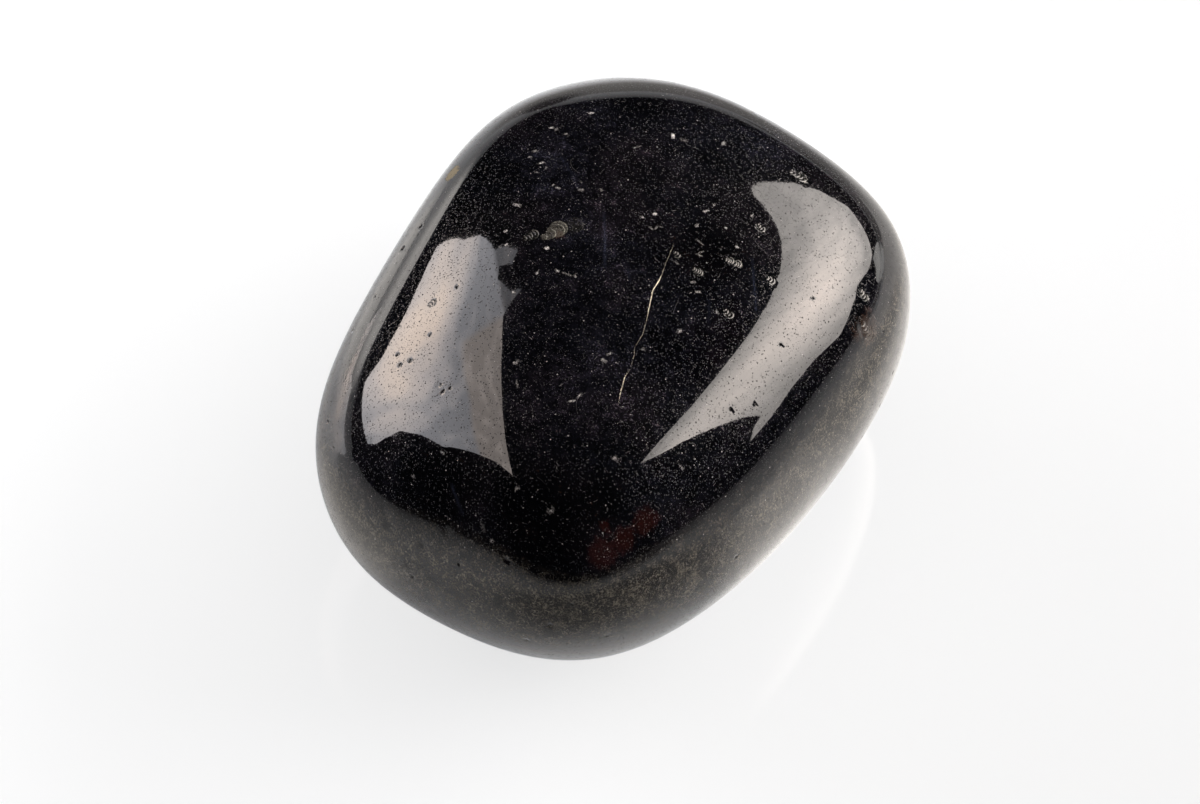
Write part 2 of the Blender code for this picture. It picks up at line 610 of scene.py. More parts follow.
def hidden_frame(stage, tree, draw):
    """A random point and frame on a side that the picture doesn't show, clear of the foot."""
    back = eye(stage)[3]
    while True:
        spread = Vector([draw.uniform(-1.0, 1.0) for _ in range(3)]).normalized()
        point, normal, _, _ = tree.ray_cast(HEART, spread)
        if normal.dot(back) < HIDDEN_LEAN and point.z > FOOT_CLEARANCE:
            towards = Vector([draw.uniform(-1.0, 1.0) for _ in range(3)])
            return point, axes_on(normal, towards)


def seen_marks(stage, tree):
    """The marks that the picture shows: kind, place, local frame, sizes and reach, in metres."""
    for across, down, angle, count, radius, run, pale, fill in BRUISES.values():
        place = seen_frame(stage, tree, across, down, angle)
        sizes = (count, radius * MM, run * MM, pale, fill)
        yield "bruise", *place, sizes, (0.5 * run + radius) * MM
    for across, down, angle, length, width, pale in CRYSTALS.values():
        place = seen_frame(stage, tree, across, down, angle)
        yield "crystal", *place, (length * MM, width * MM, pale), 0.5 * length * MM
    for across, down, radius in PITS.values():
        place = seen_frame(stage, tree, across, down, 0.0)
        yield "pit", *place, (radius * MM,), radius * MM
    for across, down, angle, length, width, depth in HOLLOWS.values():
        place = seen_frame(stage, tree, across, down, angle)
        yield "hollow", *place, (length * MM, width * MM, depth * MM), 0.5 * length * MM


def hidden_marks(stage, tree, settings):
    """The marks drawn at random for the sides that the picture doesn't show, in the same form."""
    draw = random.Random(settings.seed)

    def drawn(name):
        return draw.uniform(*HIDDEN_RANGES[name])

    for _ in range(settings.hidden_marks):
        radius, run = drawn("bruise radius") * MM, drawn("bruise length") * MM
        place = hidden_frame(stage, tree, draw)
        count = draw.randint(*HIDDEN_CRESCENTS)
        sizes = (count, radius, run, drawn("bruise paleness"), HIDDEN_FILL)
        yield "bruise", *place, sizes, 0.5 * run + radius
        for _ in range(CRYSTALS_PER_BRUISE):
            length, width = drawn("crystal length") * MM, drawn("crystal width") * MM
            sizes = (length, width, drawn("crystal paleness"))
            yield "crystal", *hidden_frame(stage, tree, draw), sizes, 0.5 * length
        for _ in range(PITS_PER_BRUISE):
            radius = drawn("pit radius") * MM
            yield "pit", *hidden_frame(stage, tree, draw), (radius,), radius
        length = drawn("hollow length") * MM
        sizes = (length, length * drawn("hollow width"), HIDDEN_HOLLOW_DEPTH)
        yield "hollow", *hidden_frame(stage, tree, draw), sizes, 0.5 * length


def line_on_stone(stage, tree, pixels):
    """A line's points on the stone, each with how pale the line is there."""
    return [(seen_point(stage, tree, across, down)[0], pale) for across, down, pale in pixels]


def along_line(points, normals, line):
    """Distance of every point to the line's left or right, and how pale the nearest place is."""
    nearest = numpy.full(len(points), numpy.inf)
    side = numpy.zeros(len(points))
    shade = numpy.zeros(len(points))
    for (start, first), (end, last) in zip(line, line[1:]):
        start, run = numpy.array(start), numpy.array(end - start)
        share = numpy.clip((points - start) @ run / (run @ run), 0.0, 1.0)
        gap = numpy.linalg.norm(points - start - share[:, None] * run, axis=1)
        left = numpy.einsum("ij,ij->i", numpy.cross(run, points - start), normals)
        side = numpy.where(gap < nearest, numpy.sign(left) * gap, side)
        shade = numpy.where(gap < nearest, first + (last - first) * share, shade)
        nearest = numpy.minimum(nearest, gap)
    return side, shade


def numbers_of(things, name):
    """A vector property of a mesh's points or faces as an array."""
    flat = numpy.empty(len(things) * 3)
    things.foreach_get(name, flat)
    return flat.reshape(-1, 3)


# How near to a crack or scratch the faces are cut finer, and the margins round every mark and
# line in the first rounds of cutting; one more round cuts only the bruises that the picture shows
LINE_REACH = 0.08 * MM
CUTTING_MARGINS = (0.10 * MM, 0.02 * MM)


def refine_near(piece, marks, lines, margin):
    """Cut the faces near the marks and lines into four."""
    faces = piece.data.polygons
    centres = numbers_of(faces, "center")
    normals = numbers_of(faces, "normal")
    near = numpy.zeros(len(faces), dtype=bool)
    for kind, point, _, _, reach in marks:
        if kind != "hollow":
            near |= numpy.linalg.norm(centres - numpy.array(point), axis=1) < reach + margin
    for _, line in lines:
        near |= numpy.abs(along_line(centres, normals, line)[0]) < margin + LINE_REACH
    make_active(piece)
    bpy.ops.object.mode_set(mode="EDIT")
    bpy.ops.mesh.select_all(action="DESELECT")
    bpy.ops.object.mode_set(mode="OBJECT")
    faces.foreach_set("select", near)
    bpy.ops.object.mode_set(mode="EDIT")
    bpy.ops.mesh.select_mode(type="FACE")
    bpy.ops.mesh.subdivide(number_cuts=1, ngon=False)
    bpy.ops.object.mode_set(mode="OBJECT")


def settle_on(piece, form):
    """Lay the new points on the finely rounded form, so that the polish mirrors evenly."""
    wrap = piece.modifiers.new("settle on the form", "SHRINKWRAP")
    wrap.target = form
    wrap.wrap_method = "NEAREST_SURFACEPOINT"
    apply_modifiers(piece)


# The crescents of a bruise: the first one's radius as a share of the last one's, how far each
# swings off the row and how fast that changes, both in radians, how steeply a crescent rises
# from its back to its front and where that starts, and how much a dark one hides the pale glass
SMALLEST_CRESCENT = 0.45
CRESCENT_SWING = 0.35
SWING_STEP = 2.4
CRESCENT_RISE = 1.6
CRESCENT_START = 0.15
DARK_CRESCENT = 0.9

# Width of a crystal's soft edge, half of it outside
CRYSTAL_EDGE = 0.09 * MM

# How far past its own reach a mark is looked for, how far to each side of the crack the finish
# knows its place, and how deep the crack is against a crescent's groove
SEARCH_MARGIN = 0.2 * MM
CRACK_REACH = 0.3 * MM
CRACK_DEPTH = 0.3
FAINTEST_MARK = 0.01


def crescents(local, count, radius, run, half_width):
    """How deep in a pale and in a dark groove each point is, and how far inside the bruise."""
    along, across = local[:, 0], local[:, 1]
    grooves = numpy.zeros((2, len(local)))
    shell = numpy.zeros(len(local))
    for step in range(count):
        share = step / (count - 1)
        size = radius * (SMALLEST_CRESCENT + (1.0 - SMALLEST_CRESCENT) * share)
        turn = CRESCENT_SWING * math.sin(SWING_STEP * step)
        shift = along * math.cos(turn) + across * math.sin(turn) - (share - 0.5) * run
        aside = across * math.cos(turn) - along * math.sin(turn)
        from_rim = numpy.hypot(shift, aside) - size
        rise = numpy.clip(shift / size * CRESCENT_RISE - CRESCENT_START, 0.0, 1.0)
        groove = numpy.clip(1.0 - numpy.abs(from_rim) / half_width, 0.0, 1.0) * rise
        kind = (count - 1 - step) % 2
        grooves[kind] = numpy.maximum(grooves[kind], groove)
        inside = numpy.clip(0.5 - from_rim / half_width, 0.0, 1.0)
        shell = numpy.maximum(shell, inside * numpy.clip(shift / size + 1.0, 0.0, 1.0))
    return grooves[0], grooves[1], shell


def rounded_bar(local, length, width):
    """1 inside a rounded bar and 0 outside it."""
    beyond = numpy.maximum(numpy.abs(local[:, 0]) - (length - width) / 2, 0.0)
    from_spine = numpy.hypot(beyond, local[:, 1])
    return numpy.clip(0.5 + (width / 2 - from_spine) / CRYSTAL_EDGE, 0.0, 1.0)


def bowl(local, length, width):
    """1 in the middle of an oval, falling smoothly to 0 at its edge."""
    squared = (local[:, 0] / length) ** 2 + (local[:, 1] / width) ** 2
    return numpy.clip(1.0 - 4.0 * squared, 0.0, 1.0) ** 2


def mark_fields(piece, marks, lines, settings):
    """How strongly each kind of mark touches each point; hollows in metres of depth."""
    points = numbers_of(piece.data.vertices, "co")
    normals = numbers_of(piece.data.vertices, "normal")
    names = ("groove", "bruise", "chalk", "crystal", "pit", "hollow", "crack", "scratch")
    fields = {name: numpy.zeros(len(points)) for name in names}

    def press(name, near, amount):
        fields[name][near] = numpy.maximum(fields[name][near], amount)

    for kind, point, axes, sizes, reach in marks:
        centre = numpy.array(point)
        gap = numpy.linalg.norm(points - centre, axis=1)
        near = numpy.flatnonzero(gap < reach + SEARCH_MARGIN)
        local = (points[near] - centre) @ axes.T
        if kind == "bruise":
            *shape, pale, fill = sizes
            light, dark, shell = crescents(local, *shape, settings.groove_width)
            press("groove", near, numpy.maximum(light, dark))
            press("bruise", near, light * pale)
            press("chalk", near, shell * (1.0 - DARK_CRESCENT * dark) * fill)
        elif kind == "crystal":
            length, width, pale = sizes
            press("crystal", near, rounded_bar(local, length, width) * pale)
        elif kind == "pit":
            width = 2.0 * sizes[0]
            press("pit", near, bowl(local, width, width))
        else:
            length, width, depth = sizes
            press("hollow", near, bowl(local, length, width) * depth)
    half_widths = {"crack": settings.crack_width, "scratch": settings.scratch_width}
    for name, line in lines:
        side, pale = along_line(points, normals, line)
        reach = numpy.clip(1.0 - numpy.abs(side) / half_widths[name], 0.0, 1.0) * pale
        if name == "crack":
            # The finish draws the crack itself, from the distance to it in millimetres
            fields["crack_side"] = numpy.clip(side, -CRACK_REACH, CRACK_REACH) / MM
            fields["groove"] = numpy.maximum(fields["groove"], CRACK_DEPTH * reach)
            reach = numpy.where(numpy.abs(side) < CRACK_REACH, pale, 0.0)
        fields[name] = numpy.maximum(fields[name], reach)
    return fields


def sink(piece, name, field, depth):
    """Press a field of marks into the surface."""
    group = piece.vertex_groups.new(name=name)
    for index in numpy.flatnonzero(field > FAINTEST_MARK):
        group.add([int(index)], float(field[index]), "REPLACE")
    press = piece.modifiers.new(name, "DISPLACE")
    press.vertex_group = name
    press.mid_level = 0.0
    press.strength = -depth
    apply_modifiers(piece)
    piece.vertex_groups.clear()


def keep_field(piece, name, field):
    """Store a field on the mesh, for the finish to read."""
    kept = piece.data.attributes.new(name, "FLOAT", "POINT")
    kept.data.foreach_set("value", field)


def patch_field(points, centres):
    """1 at the patches' centres, 0.5 on their edges, falling to 0 at twice their radius."""
    field = numpy.zeros(len(points))
    for centre, radius in centres:
        gap = numpy.linalg.norm(points - numpy.array(centre), axis=1)
        field = numpy.maximum(field, numpy.clip(1.0 - gap / (2.0 * radius * MM), 0.0, 1.0))
    return field


# Levels by which the form that cut faces settle on is smoother than the stone itself
FINER_LEVELS = 2


class OBJECT_OT_obsidian_stone(bpy.types.Operator):
    """Build the polished stone on its CAD solid"""

    bl_idname = "object.obsidian_stone"
    bl_label = "Obsidian stone"

    def execute(self, context):
        settings = context.scene.obsidian_stone
        stage = context.scene.obsidian_stage
        form = rounded_stone("fine_form", settings.smoothing + FINER_LEVELS)
        piece = rounded_stone("polished_obsidian", settings.smoothing)
        tree = surface_tree(piece.data)
        marks = [*seen_marks(stage, tree), *hidden_marks(stage, tree, settings)]
        lines = [("crack", line_on_stone(stage, tree, CRACK))] + [
            ("scratch", line_on_stone(stage, tree, pixels)) for pixels in SCRATCHES.values()
        ]
        for margin in CUTTING_MARGINS:
            refine_near(piece, marks, lines, margin)
        refine_near(piece, marks[:len(BRUISES)], [], 0.0)
        settle_on(piece, form)
        bpy.data.objects.remove(form)

        fields = mark_fields(piece, marks, lines, settings)
        points = numbers_of(piece.data.vertices, "co")
        for name, spots in PATCHES.items():
            centres = [
                (seen_point(stage, tree, across, down)[0], radius)
                for across, down, radius in spots.values()
            ]
            fields[name] = patch_field(points, centres)
        deepest = fields["hollow"].max()
        sink(piece, "hollows", fields["hollow"] / deepest, deepest)
        sink(piece, "grooves", fields["groove"], settings.bruise_depth)
        sink(piece, "pits", fields["pit"], settings.pit_depth)
        for name in (*MARKS, *PATCH_LOOKS, *THIN_PATCHES, "crack_side"):
            keep_field(piece, name, fields[name])
        piece.data.shade_smooth()

        piece.data.materials.clear()
        piece.data.materials.append(polished_obsidian(context.scene.obsidian_glass))
        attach(piece, "root")
        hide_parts(STONE_NODE)
        return {"FINISHED"}


# Grains drawn in the finish, coarser than the real dust so that they show: cell, length and
# width in millimetres, share of cells that hold one, brightness and roughness
GRAINS = {
    "crystal dust": (0.24, 0.01, 0.056, 0.42, 0.20, 0.40),
    "crystal specks": (0.50, 0.03, 0.080, 0.20, 0.38, 0.55),
    "short hairs": (0.70, 0.26, 0.038, 0.11, 0.18, 0.20),
    "long hairs": (2.0, 1.2, 0.038, 0.30, 0.05, 0.20),
    "fine pits": (0.26, 0.02, 0.110, 0.42, 0.0, 0.70),
    "dust pits": (0.15, 0.01, 0.078, 0.35, 0.0, 0.55),
}

# How each kind of mark looks: colour (a key of the glass settings or a hex value), how much of
# it, roughness, and how much its strength swings with the noise
MARKS = {
    "chalk": ("#96948a", 1.00, 0.30, 1.0),
    "bruise": ("#dcdccf", 0.42, 0.25, 1.4),
    "scratch": ("#8490b4", 0.045, 0.05, 0.7),
    "crystal": ("crystal", 0.72, 0.50, 1.9),
    "crack": ("#f2e8d2", 1.0, 0.40, 2.0),
    # The pits' dark colour is painted shade in their hollows
    "pit": ("#0c0a09", 0.95, 0.30, 0.6),
}

# How each kind of patch looks: colour, how much of it, roughness, and how ragged its edge is;
# the thin patches have no colour of their own and only change the mist and the grains
PATCH_LOOKS = {
    "rust": ("rust", 0.34, 0.05, 0.7),
    "gold": ("gold", 0.62, 0.45, 0.6),
    "brown": ("#5c4636", 0.16, 0.12, 1.4),
}
THIN_PATCHES = ("pitted", "clear", "misty")
THIN_RAGGED = 0.6

# Half the width of a patch's soft edge, as a share of twice its radius: the coloured ones' and
# the thin ones'
CRISP_EDGE = 0.10
SOFT_EDGE = 0.20

GLASS_IOR = 1.5

# Noises of the glass: size in millimetres and detail. The edge noise makes marks ragged, grit,
# cloud and patch noise make up the mist, and tint noise warms the glass.
NOISES = {
    "edge": (0.08, 2.0),
    "grit": (0.14, 4.0),
    "cloud": (0.7, 3.0),
    "patch": (3.0, 2.0),
    "tint": (6.0, 2.0),
}
NOISE_ROUGHNESS = 0.65

# Spans of the noises that drive one thing from none to full: how much a mark swings, how far a
# patch is torn (cloud and grit together), how warm the mist is, how matt the grit leaves the
# polish, how worn the flanks are, and how crowded the pale grains are
MARK_SWING = {"From Min": 0.3, "From Max": 0.7}
PATCH_TEAR = {"From Min": 0.6, "From Max": 1.4}
WARM_TINT = {"From Min": 0.42, "From Max": 0.58}
MATT_GRIT = {"From Min": 0.60, "From Max": 0.68, "To Max": 0.40}
WEAR = {"From Min": 1.06, "From Max": 1.32}
CROWDING = {"From Min": 0.16, "From Max": 0.36, "To Min": 0.3, "To Max": 1.3}

# The mist: its strength, how sharply each noise parts it, and its change in the thin patches
MIST_STRENGTH = 0.0078
MIST_POWERS = {"grit": 4.0, "cloud": 3.0, "patch": 2.0}
MIST_CHANGES = {"clear": -0.85, "misty": 0.8}

# The flanks, brownish with wear and lighter with a painted reflection of the pale table: how far
# a face's normal leans up where they start and where they're full, the share of each noise in
# their wear, and how much rougher than the polish's waves they are
FLANK_TILT = {"From Min": 0.58, "From Max": 0.40}
WEAR_SHARES = {"edge": 0.4, "grit": 1.2, "cloud": 0.6}
FLANK_ROUGHENING = 10.0

# The crack in millimetres: how far it wavers, half its width where it's faintest and how much
# it gains where it's palest, and its soft edge
CRACK_WAVER = 0.14
CRACK_THINNEST = 0.014
CRACK_GAIN = 0.032
CRACK_EDGE = 0.02

# The grains: how far noise tears them, how far apart in metres two kinds' patterns lie, how far
# one bends, how soft its edge is against its width, how unevenly they are bright and how bright
# the faintest one is, how much crisper the pits are, and the changes of how many there are
GRAIN_TEAR = 0.02 * MM
PATTERN_STEP = (0.0371, 0.0, 0.0113)
GRAIN_BEND = 0.8
GRAIN_EDGE = 0.25
GRAIN_CONTRAST = 4.0
FAINTEST_GRAIN = 0.12
PIT_CRISPNESS = 2.0
PALE_CHANGES = {"clear": -0.5, "flank": -0.8}
PIT_CHANGES = {"pitted": 1.1, "clear": -0.6}

# A look's own roughness is reached where its field is this strong
MATT_FIELD = 0.3


def laid_on(tree, colour, rough, field, shade, strength, matt):
    """The colour and roughness with one more look mixed in where the field says."""
    amount = add_node(tree, "ShaderNodeMath", {0: field, 1: strength}, operation="MULTIPLY")
    colour = add_node(
        tree, "ShaderNodeMix", {"Factor": amount, "A": colour, "B": shade}, data_type="RGBA")
    matt_here = add_node(tree, "ShaderNodeMapRange", {"Value": field, "From Max": MATT_FIELD})
    rough = add_node(tree, "ShaderNodeMix", {"Factor": matt_here, "A": rough, "B": matt})
    return colour, rough


def laid_over(tree, colour, rough, fields, looks, glass):
    """The colour and roughness with all of a table's looks mixed in."""
    for name, (shade, strength, matt, _) in looks.items():
        shade = linear(shade) if shade.startswith("#") else getattr(glass, shade)
        colour, rough = laid_on(tree, colour, rough, fields[name], shade, strength, matt)
    return colour, rough


def changed_by(tree, amount, field, change):
    """The amount, changed by a share of itself where the field is full."""
    share = add_node(
        tree, "ShaderNodeMath", {0: field, 1: change, 2: 1.0}, operation="MULTIPLY_ADD")
    return add_node(tree, "ShaderNodeMath", {0: share, 1: amount}, operation="MULTIPLY")


def grain_pattern():
    """Node group: bent grains in the surface, one to a cell, each turned and sized alone."""
    group = bpy.data.node_groups.new("grains", "ShaderNodeTree")
    group.interface.new_socket("Vector", in_out="INPUT", socket_type="NodeSocketVector")
    for name in ("Cell", "Length", "Width", "Share"):
        group.interface.new_socket(name, in_out="INPUT", socket_type="NodeSocketFloat")
    group.interface.new_socket("Mask", in_out="OUTPUT", socket_type="NodeSocketFloat")
    given = add_node(group, "NodeGroupInput", {}).outputs
    rows = add_node(group, "ShaderNodeMath", {0: 1.0, 1: given["Cell"]}, operation="DIVIDE")
    cells = add_node(
        group, "ShaderNodeTexVoronoi", {"Vector": given["Vector"], "Scale": rows}).outputs
    luck = add_node(group, "ShaderNodeTexWhiteNoise", {"Vector": cells["Color"]}).outputs
    draws = add_node(group, "ShaderNodeSeparateColor", {"Color": luck["Color"]}).outputs

    # The grain's own axes: along it and across it, both flat in the surface
    outwards = add_node(group, "ShaderNodeNewGeometry", {}).outputs["Normal"]
    offset = add_node(
        group, "ShaderNodeVectorMath", {0: given["Vector"], 1: cells["Position"]},
        operation="SUBTRACT")
    turned = add_node(
        group, "ShaderNodeVectorMath", {0: cells["Color"], 1: (0.5, 0.5, 0.5)},
        operation="SUBTRACT")
    lying = add_node(
        group, "ShaderNodeVectorMath", {0: turned, 1: outwards}, operation="CROSS_PRODUCT")
    along = add_node(group, "ShaderNodeVectorMath", {0: lying}, operation="NORMALIZE")
    across = add_node(
        group, "ShaderNodeVectorMath", {0: along, 1: outwards}, operation="CROSS_PRODUCT")
    run, side = [
        add_node(group, "ShaderNodeVectorMath", {0: offset, 1: axis}, operation="DOT_PRODUCT")
        for axis in (along, across)
    ]

    # Bend it: its ends lie up to a fifth of its length to one side
    squared = add_node(group, "ShaderNodeMath", {0: run, 1: run}, operation="MULTIPLY")
    bend = add_node(
        group, "ShaderNodeMapRange",
        {"Value": draws["Green"], "To Min": -GRAIN_BEND, "To Max": GRAIN_BEND})
    bend = add_node(group, "ShaderNodeMath", {0: bend, 1: given["Length"]}, operation="DIVIDE")
    side = add_node(
        group, "ShaderNodeMath", {0: squared, 1: bend, 2: side}, operation="MULTIPLY_ADD")

    # Distance from the grain's spine, against its radius, which is 0 in a cell without a grain
    beyond = add_node(group, "ShaderNodeMath", {0: run}, operation="ABSOLUTE")
    half = add_node(group, "ShaderNodeMath", {0: given["Length"], 1: 0.5}, operation="MULTIPLY")
    past = add_node(group, "ShaderNodeMath", {0: beyond, 1: half}, operation="SUBTRACT")
    past = add_node(group, "ShaderNodeMath", {0: past, 1: 0.0}, operation="MAXIMUM")
    flat = add_node(group, "ShaderNodeCombineXYZ", {"X": past, "Y": side})
    gap = add_node(group, "ShaderNodeVectorMath", {0: flat}, operation="LENGTH")
    missing = add_node(
        group, "ShaderNodeMath", {0: 1.0, 1: given["Share"]}, operation="SUBTRACT")
    size = add_node(
        group, "ShaderNodeMapRange",
        {"Value": luck["Value"], "From Min": missing, "From Max": 1.0, "To Max": 0.5})
    radius = add_node(group, "ShaderNodeMath", {0: size, 1: given["Width"]}, operation="MULTIPLY")
    room = add_node(group, "ShaderNodeMath", {0: radius, 1: gap}, operation="SUBTRACT")
    edge = add_node(
        group, "ShaderNodeMath", {0: given["Width"], 1: GRAIN_EDGE}, operation="MULTIPLY")
    mask = add_node(
        group, "ShaderNodeMath", {0: room, 1: edge}, operation="DIVIDE", use_clamp=True)

    # Most grains are faint and few are bright
    shade = add_node(
        group, "ShaderNodeMath", {0: draws["Red"], 1: GRAIN_CONTRAST}, operation="POWER")
    shade = add_node(
        group, "ShaderNodeMapRange", {"Value": shade, "To Min": FAINTEST_GRAIN, "To Max": 1.0})
    faded = add_node(group, "ShaderNodeMath", {0: mask, 1: shade}, operation="MULTIPLY")
    add_node(group, "NodeGroupOutput", {"Mask": faded})
    return group


def wavering_crack(tree, noise, pale):
    """The crack's thin line, which wavers and is thinner where it's fainter."""
    side = add_node(tree, "ShaderNodeAttribute", {}, attribute_name="crack_side").outputs["Fac"]
    waver = add_node(
        tree, "ShaderNodeMath", {0: noise, 1: CRACK_WAVER, 2: side}, operation="MULTIPLY_ADD")
    gap = add_node(
        tree, "ShaderNodeMath", {0: waver, 1: 0.5 * CRACK_WAVER}, operation="SUBTRACT")
    gap = add_node(tree, "ShaderNodeMath", {0: gap}, operation="ABSOLUTE")
    half = add_node(
        tree, "ShaderNodeMath", {0: pale, 1: CRACK_GAIN, 2: CRACK_THINNEST},
        operation="MULTIPLY_ADD")
    room = add_node(tree, "ShaderNodeMath", {0: half, 1: gap}, operation="SUBTRACT")
    line = add_node(tree, "ShaderNodeMapRange", {"Value": room, "From Max": CRACK_EDGE})
    return add_node(tree, "ShaderNodeMath", {0: line, 1: pale}, operation="MULTIPLY")


def torn_fields(tree, noises):
    """The mesh's fields: marks that swing with the noise, patches cut off along ragged edges."""
    fields = {
        name: add_node(tree, "ShaderNodeAttribute", {}, attribute_name=name).outputs["Fac"]
        for name in (*MARKS, *PATCH_LOOKS, *THIN_PATCHES)
    }
    fields["crack"] = wavering_crack(tree, noises["edge"], fields["crack"])
    for name, (_, _, _, swing) in MARKS.items():
        strength = add_node(
            tree, "ShaderNodeMapRange",
            {"Value": noises["edge"], "To Min": 1.0 - swing, "To Max": 1.0 + swing, **MARK_SWING},
            clamp=False)
        fields[name] = add_node(
            tree, "ShaderNodeMath", {0: fields[name], 1: strength}, operation="MULTIPLY",
            use_clamp=True)
    both = add_node(
        tree, "ShaderNodeMath", {0: noises["cloud"], 1: noises["grit"]}, operation="ADD")
    edges = {name: (look[3], CRISP_EDGE) for name, look in PATCH_LOOKS.items()}
    edges.update({name: (THIN_RAGGED, SOFT_EDGE) for name in THIN_PATCHES})
    for name, (ragged, soft) in edges.items():
        wobble = add_node(
            tree, "ShaderNodeMapRange",
            {"Value": both, "To Min": -0.5 * ragged, "To Max": 0.5 * ragged, **PATCH_TEAR})
        torn = add_node(tree, "ShaderNodeMath", {0: fields[name], 1: wobble}, operation="ADD")
        fields[name] = add_node(
            tree, "ShaderNodeMapRange",
            {"Value": torn, "From Min": 0.5 - soft, "From Max": 0.5 + soft})
    return fields


def misty_glass(tree, glass, noises, fields):
    """The colour of the glass under its mist of scratches too fine to part."""
    warmth = add_node(tree, "ShaderNodeMapRange", {"Value": noises["tint"], **WARM_TINT})
    bloom = add_node(
        tree, "ShaderNodeMix", {"Factor": warmth, "A": glass.mist, "B": glass.warm_mist},
        data_type="RGBA")
    mist = MIST_STRENGTH
    for name, power in MIST_POWERS.items():
        doubled = add_node(tree, "ShaderNodeMath", {0: noises[name], 1: 2.0}, operation="MULTIPLY")
        swing = add_node(tree, "ShaderNodeMath", {0: doubled, 1: power}, operation="POWER")
        mist = add_node(tree, "ShaderNodeMath", {0: swing, 1: mist}, operation="MULTIPLY")
    for name, change in MIST_CHANGES.items():
        mist = changed_by(tree, mist, fields[name], change)
    return add_node(
        tree, "ShaderNodeMix", {"Factor": mist, "A": glass.glass, "B": bloom}, data_type="RGBA")


def worn_and_reflecting_flanks(tree, glass, noises, flank, colour):
    """The colour with the mottled, slightly brownish grey of the flanks laid over it: partly wear
    and partly a painted reflection of the pale table.
    """
    wear_and_reflection = 0.0
    for name, share in WEAR_SHARES.items():
        wear_and_reflection = add_node(
            tree, "ShaderNodeMath", {0: noises[name], 1: share, 2: wear_and_reflection}, operation="MULTIPLY_ADD")
    wear_and_reflection = add_node(tree, "ShaderNodeMapRange", {"Value": wear_and_reflection, **WEAR})
    # Laid on the flanks only, this grey is partly wear and partly a painted reflection of the
    # table
    wear_and_reflection = add_node(tree, "ShaderNodeMath", {0: wear_and_reflection, 1: flank}, operation="MULTIPLY")
    return add_node(
        tree, "ShaderNodeMix", {"Factor": wear_and_reflection, "A": colour, "B": glass.brown_glass_and_reflection},
        data_type="RGBA")


def strewn_grains(tree, glass, place, noises, fields, colour, rough):
    """The colour and roughness with the crystal dust, the hairs and the pits mixed in."""
    group = grain_pattern()
    torn = add_node(
        tree, "ShaderNodeVectorMath",
        {0: noises["edge"].outputs["Color"], 1: (GRAIN_TEAR, GRAIN_TEAR, GRAIN_TEAR), 2: place},
        operation="MULTIPLY_ADD")
    pale_crowding = add_node(
        tree, "ShaderNodeMath", {0: noises["patch"], 1: noises["cloud"]}, operation="MULTIPLY")
    pale_crowding = add_node(tree, "ShaderNodeMapRange", {"Value": pale_crowding, **CROWDING})
    for name, change in PALE_CHANGES.items():
        pale_crowding = changed_by(tree, pale_crowding, fields[name], change)
    pit_crowding = 1.0
    for name, change in PIT_CHANGES.items():
        pit_crowding = add_node(
            tree, "ShaderNodeMath", {0: fields[name], 1: change, 2: pit_crowding},
            operation="MULTIPLY_ADD")
    for number, (cell, length, width, share, bright, matt) in enumerate(GRAINS.values()):
        shift = tuple(step * number for step in PATTERN_STEP)
        shifted = add_node(tree, "ShaderNodeVectorMath", {0: torn, 1: shift}, operation="ADD")
        crowding = pale_crowding if bright else pit_crowding
        crowd = add_node(tree, "ShaderNodeMath", {0: crowding, 1: share}, operation="MULTIPLY")
        mask = add_node(
            tree, "ShaderNodeGroup",
            {"Vector": shifted, "Cell": cell * MM, "Length": length * MM, "Width": width * MM,
             "Share": crowd}, node_tree=group)
        if bright:
            shade, strength = glass.crystal, bright
        else:
            # The pits take the glass's black, painted shade in their tiny hollows
            shade, strength = glass.glass, 1.0
            mask = add_node(
                tree, "ShaderNodeMath", {0: mask, 1: PIT_CRISPNESS}, operation="MULTIPLY",
                use_clamp=True)
        colour, rough = laid_on(tree, colour, rough, mask, shade, strength, matt)
    return colour, rough


